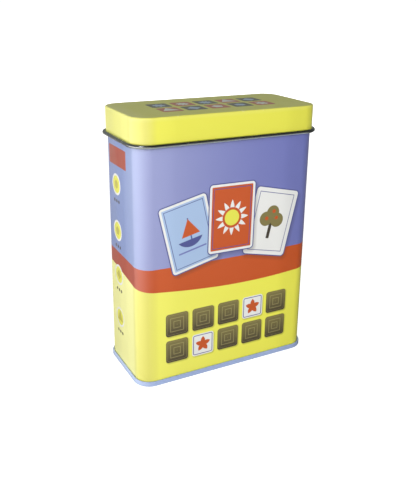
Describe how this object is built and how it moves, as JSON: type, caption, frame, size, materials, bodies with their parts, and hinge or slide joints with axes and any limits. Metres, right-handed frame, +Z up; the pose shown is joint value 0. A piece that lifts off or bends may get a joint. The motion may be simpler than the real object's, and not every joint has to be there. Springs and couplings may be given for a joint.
{
  "type": "memory card game in a tin",
  "caption": "Upright rounded-rectangle tin with a slip lid and a seamed bottom, holding a deck of paired memory cards on edge and a folded rules leaflet.",
  "frame": {"origin": "centre of the tin's base, on the surface it stands on", "axes": "+Z up, -Y towards the front of the tin, +X to the right seen from the front"},
  "size_m": [0.0884, 0.0424, 0.1168],
  "materials": {
    "printed_tin": "gloss",
    "blue_tin": "gloss",
    "yellow_tin": "gloss",
    "card_board": "satin",
    "leaflet_paper": "matte"
  },
  "bodies": {
    "tin": {"tin_body": "printed_tin", "tin_bottom": "blue_tin"},
    "lid": {"tin_lid": "yellow_tin"},
    "pair_01_card_a": {"pair_01_card_a": "card_board"},
    "pair_02_card_a": {"pair_02_card_a": "card_board"},
    "pair_03_card_a": {"pair_03_card_a": "card_board"},
    "pair_04_card_a": {"pair_04_card_a": "card_board"},
    "pair_05_card_a": {"pair_05_card_a": "card_board"},
    "pair_06_card_a": {"pair_06_card_a": "card_board"},
    "pair_07_card_a": {"pair_07_card_a": "card_board"},
    "pair_08_card_a": {"pair_08_card_a": "card_board"},
    "pair_09_card_a": {"pair_09_card_a": "card_board"},
    "pair_10_card_a": {"pair_10_card_a": "card_board"},
    "pair_11_card_a": {"pair_11_card_a": "card_board"},
    "pair_12_card_a": {"pair_12_card_a": "card_board"},
    "pair_13_card_a": {"pair_13_card_a": "card_board"},
    "pair_14_card_a": {"pair_14_card_a": "card_board"},
    "pair_15_card_a": {"pair_15_card_a": "card_board"},
    "pair_16_card_a": {"pair_16_card_a": "card_board"},
    "pair_17_card_a": {"pair_17_card_a": "card_board"},
    "pair_18_card_a": {"pair_18_card_a": "card_board"},
    "pair_01_card_b": {"pair_01_card_b": "card_board"},
    "pair_02_card_b": {"pair_02_card_b": "card_board"},
    "pair_03_card_b": {"pair_03_card_b": "card_board"},
    "pair_04_card_b": {"pair_04_card_b": "card_board"},
    "pair_05_card_b": {"pair_05_card_b": "card_board"},
    "pair_06_card_b": {"pair_06_card_b": "card_board"},
    "pair_07_card_b": {"pair_07_card_b": "card_board"},
    "pair_08_card_b": {"pair_08_card_b": "card_board"},
    "pair_09_card_b": {"pair_09_card_b": "card_board"},
    "pair_10_card_b": {"pair_10_card_b": "card_board"},
    "pair_11_card_b": {"pair_11_card_b": "card_board"},
    "pair_12_card_b": {"pair_12_card_b": "card_board"},
    "pair_13_card_b": {"pair_13_card_b": "card_board"},
    "pair_14_card_b": {"pair_14_card_b": "card_board"},
    "pair_15_card_b": {"pair_15_card_b": "card_board"},
    "pair_16_card_b": {"pair_16_card_b": "card_board"},
    "pair_17_card_b": {"pair_17_card_b": "card_board"},
    "pair_18_card_b": {"pair_18_card_b": "card_board"},
    "leaflet": {"rules_leaflet": "leaflet_paper"}
  },
  "joints": [
    {"name": "lid_lift", "type": "slide", "parent": "tin", "child": "lid", "axis": [0, 0, 1], "range_m": [0, 0.12]},
    {"name": "pair_01_card_a_lift", "type": "slide", "parent": "tin", "child": "pair_01_card_a", "axis": [0, 0, 1], "range_m": [0, 0.048]},
    {"name": "pair_02_card_a_lift", "type": "slide", "parent": "tin", "child": "pair_02_card_a", "axis": [0, 0, 1], "range_m": [0, 0.04835]},
    {"name": "pair_03_card_a_lift", "type": "slide", "parent": "tin", "child": "pair_03_card_a", "axis": [0, 0, 1], "range_m": [0, 0.04868]},
    {"name": "pair_04_card_a_lift", "type": "slide", "parent": "tin", "child": "pair_04_card_a", "axis": [0, 0, 1], "range_m": [0, 0.04903]},
    {"name": "pair_05_card_a_lift", "type": "slide", "parent": "tin", "child": "pair_05_card_a", "axis": [0, 0, 1], "range_m": [0, 0.04937]},
    {"name": "pair_06_card_a_lift", "type": "slide", "parent": "tin", "child": "pair_06_card_a", "axis": [0, 0, 1], "range_m": [0, 0.04972]},
    {"name": "pair_07_card_a_lift", "type": "slide", "parent": "tin", "child": "pair_07_card_a", "axis": [0, 0, 1], "range_m": [0, 0.05005]},
    {"name": "pair_08_card_a_lift", "type": "slide", "parent": "tin", "child": "pair_08_card_a", "axis": [0, 0, 1], "range_m": [0, 0.0504]},
    {"name": "pair_09_card_a_lift", "type": "slide", "parent": "tin", "child": "pair_09_card_a", "axis": [0, 0, 1], "range_m": [0, 0.05075]},
    {"name": "pair_10_card_a_lift", "type": "slide", "parent": "tin", "child": "pair_10_card_a", "axis": [0, 0, 1], "range_m": [0, 0.05108]},
    {"name": "pair_11_card_a_lift", "type": "slide", "parent": "tin", "child": "pair_11_card_a", "axis": [0, 0, 1], "range_m": [0, 0.05143]},
    {"name": "pair_12_card_a_lift", "type": "slide", "parent": "tin", "child": "pair_12_card_a", "axis": [0, 0, 1], "range_m": [0, 0.05177]},
    {"name": "pair_13_card_a_lift", "type": "slide", "parent": "tin", "child": "pair_13_card_a", "axis": [0, 0, 1], "range_m": [0, 0.05212]},
    {"name": "pair_14_card_a_lift", "type": "slide", "parent": "tin", "child": "pair_14_card_a", "axis": [0, 0, 1], "range_m": [0, 0.05245]},
    {"name": "pair_15_card_a_lift", "type": "slide", "parent": "tin", "child": "pair_15_card_a", "axis": [0, 0, 1], "range_m": [0, 0.0528]},
    {"name": "pair_16_card_a_lift", "type": "slide", "parent": "tin", "child": "pair_16_card_a", "axis": [0, 0, 1], "range_m": [0, 0.05315]},
    {"name": "pair_17_card_a_lift", "type": "slide", "parent": "tin", "child": "pair_17_card_a", "axis": [0, 0, 1], "range_m": [0, 0.05348]},
    {"name": "pair_18_card_a_lift", "type": "slide", "parent": "tin", "child": "pair_18_card_a", "axis": [0, 0, 1], "range_m": [0, 0.05383]},
    {"name": "pair_01_card_b_lift", "type": "slide", "parent": "tin", "child": "pair_01_card_b", "axis": [0, 0, 1], "range_m": [0, 0.05417]},
    {"name": "pair_02_card_b_lift", "type": "slide", "parent": "tin", "child": "pair_02_card_b", "axis": [0, 0, 1], "range_m": [0, 0.05452]},
    {"name": "pair_03_card_b_lift", "type": "slide", "parent": "tin", "child": "pair_03_card_b", "axis": [0, 0, 1], "range_m": [0, 0.05485]},
    {"name": "pair_04_card_b_lift", "type": "slide", "parent": "tin", "child": "pair_04_card_b", "axis": [0, 0, 1], "range_m": [0, 0.0552]},
    {"name": "pair_05_card_b_lift", "type": "slide", "parent": "tin", "child": "pair_05_card_b", "axis": [0, 0, 1], "range_m": [0, 0.05555]},
    {"name": "pair_06_card_b_lift", "type": "slide", "parent": "tin", "child": "pair_06_card_b", "axis": [0, 0, 1], "range_m": [0, 0.05588]},
    {"name": "pair_07_card_b_lift", "type": "slide", "parent": "tin", "child": "pair_07_card_b", "axis": [0, 0, 1], "range_m": [0, 0.05623]},
    {"name": "pair_08_card_b_lift", "type": "slide", "parent": "tin", "child": "pair_08_card_b", "axis": [0, 0, 1], "range_m": [0, 0.05657]},
    {"name": "pair_09_card_b_lift", "type": "slide", "parent": "tin", "child": "pair_09_card_b", "axis": [0, 0, 1], "range_m": [0, 0.05692]},
    {"name": "pair_10_card_b_lift", "type": "slide", "parent": "tin", "child": "pair_10_card_b", "axis": [0, 0, 1], "range_m": [0, 0.05725]},
    {"name": "pair_11_card_b_lift", "type": "slide", "parent": "tin", "child": "pair_11_card_b", "axis": [0, 0, 1], "range_m": [0, 0.0576]},
    {"name": "pair_12_card_b_lift", "type": "slide", "parent": "tin", "child": "pair_12_card_b", "axis": [0, 0, 1], "range_m": [0, 0.05795]},
    {"name": "pair_13_card_b_lift", "type": "slide", "parent": "tin", "child": "pair_13_card_b", "axis": [0, 0, 1], "range_m": [0, 0.05828]},
    {"name": "pair_14_card_b_lift", "type": "slide", "parent": "tin", "child": "pair_14_card_b", "axis": [0, 0, 1], "range_m": [0, 0.05863]},
    {"name": "pair_15_card_b_lift", "type": "slide", "parent": "tin", "child": "pair_15_card_b", "axis": [0, 0, 1], "range_m": [0, 0.05897]},
    {"name": "pair_16_card_b_lift", "type": "slide", "parent": "tin", "child": "pair_16_card_b", "axis": [0, 0, 1], "range_m": [0, 0.05932]},
    {"name": "pair_17_card_b_lift", "type": "slide", "parent": "tin", "child": "pair_17_card_b", "axis": [0, 0, 1], "range_m": [0, 0.05965]},
    {"name": "pair_18_card_b_lift", "type": "slide", "parent": "tin", "child": "pair_18_card_b", "axis": [0, 0, 1], "range_m": [0, 0.06]},
    {"name": "leaflet_lift", "type": "slide", "parent": "tin", "child": "leaflet", "axis": [0, 0, 1], "range_m": [0, 0.072]}
  ],
  "couplings": [
    {"joint": "pair_01_card_a_lift", "follows": "lid_lift", "ratio": 0.4},
    {"joint": "pair_02_card_a_lift", "follows": "lid_lift", "ratio": 0.4029},
    {"joint": "pair_03_card_a_lift", "follows": "lid_lift", "ratio": 0.4057},
    {"joint": "pair_04_card_a_lift", "follows": "lid_lift", "ratio": 0.4086},
    {"joint": "pair_05_card_a_lift", "follows": "lid_lift", "ratio": 0.4114},
    {"joint": "pair_06_card_a_lift", "follows": "lid_lift", "ratio": 0.4143},
    {"joint": "pair_07_card_a_lift", "follows": "lid_lift", "ratio": 0.4171},
    {"joint": "pair_08_card_a_lift", "follows": "lid_lift", "ratio": 0.42},
    {"joint": "pair_09_card_a_lift", "follows": "lid_lift", "ratio": 0.4229},
    {"joint": "pair_10_card_a_lift", "follows": "lid_lift", "ratio": 0.4257},
    {"joint": "pair_11_card_a_lift", "follows": "lid_lift", "ratio": 0.4286},
    {"joint": "pair_12_card_a_lift", "follows": "lid_lift", "ratio": 0.4314},
    {"joint": "pair_13_card_a_lift", "follows": "lid_lift", "ratio": 0.4343},
    {"joint": "pair_14_card_a_lift", "follows": "lid_lift", "ratio": 0.4371},
    {"joint": "pair_15_card_a_lift", "follows": "lid_lift", "ratio": 0.44},
    {"joint": "pair_16_card_a_lift", "follows": "lid_lift", "ratio": 0.4429},
    {"joint": "pair_17_card_a_lift", "follows": "lid_lift", "ratio": 0.4457},
    {"joint": "pair_18_card_a_lift", "follows": "lid_lift", "ratio": 0.4486},
    {"joint": "pair_01_card_b_lift", "follows": "lid_lift", "ratio": 0.4514},
    {"joint": "pair_02_card_b_lift", "follows": "lid_lift", "ratio": 0.4543},
    {"joint": "pair_03_card_b_lift", "follows": "lid_lift", "ratio": 0.4571},
    {"joint": "pair_04_card_b_lift", "follows": "lid_lift", "ratio": 0.46},
    {"joint": "pair_05_card_b_lift", "follows": "lid_lift", "ratio": 0.4629},
    {"joint": "pair_06_card_b_lift", "follows": "lid_lift", "ratio": 0.4657},
    {"joint": "pair_07_card_b_lift", "follows": "lid_lift", "ratio": 0.4686},
    {"joint": "pair_08_card_b_lift", "follows": "lid_lift", "ratio": 0.4714},
    {"joint": "pair_09_card_b_lift", "follows": "lid_lift", "ratio": 0.4743},
    {"joint": "pair_10_card_b_lift", "follows": "lid_lift", "ratio": 0.4771},
    {"joint": "pair_11_card_b_lift", "follows": "lid_lift", "ratio": 0.48},
    {"joint": "pair_12_card_b_lift", "follows": "lid_lift", "ratio": 0.4829},
    {"joint": "pair_13_card_b_lift", "follows": "lid_lift", "ratio": 0.4857},
    {"joint": "pair_14_card_b_lift", "follows": "lid_lift", "ratio": 0.4886},
    {"joint": "pair_15_card_b_lift", "follows": "lid_lift", "ratio": 0.4914},
    {"joint": "pair_16_card_b_lift", "follows": "lid_lift", "ratio": 0.4943},
    {"joint": "pair_17_card_b_lift", "follows": "lid_lift", "ratio": 0.4971},
    {"joint": "pair_18_card_b_lift", "follows": "lid_lift", "ratio": 0.5},
    {"joint": "leaflet_lift", "follows": "lid_lift", "ratio": 0.6}
  ]
}
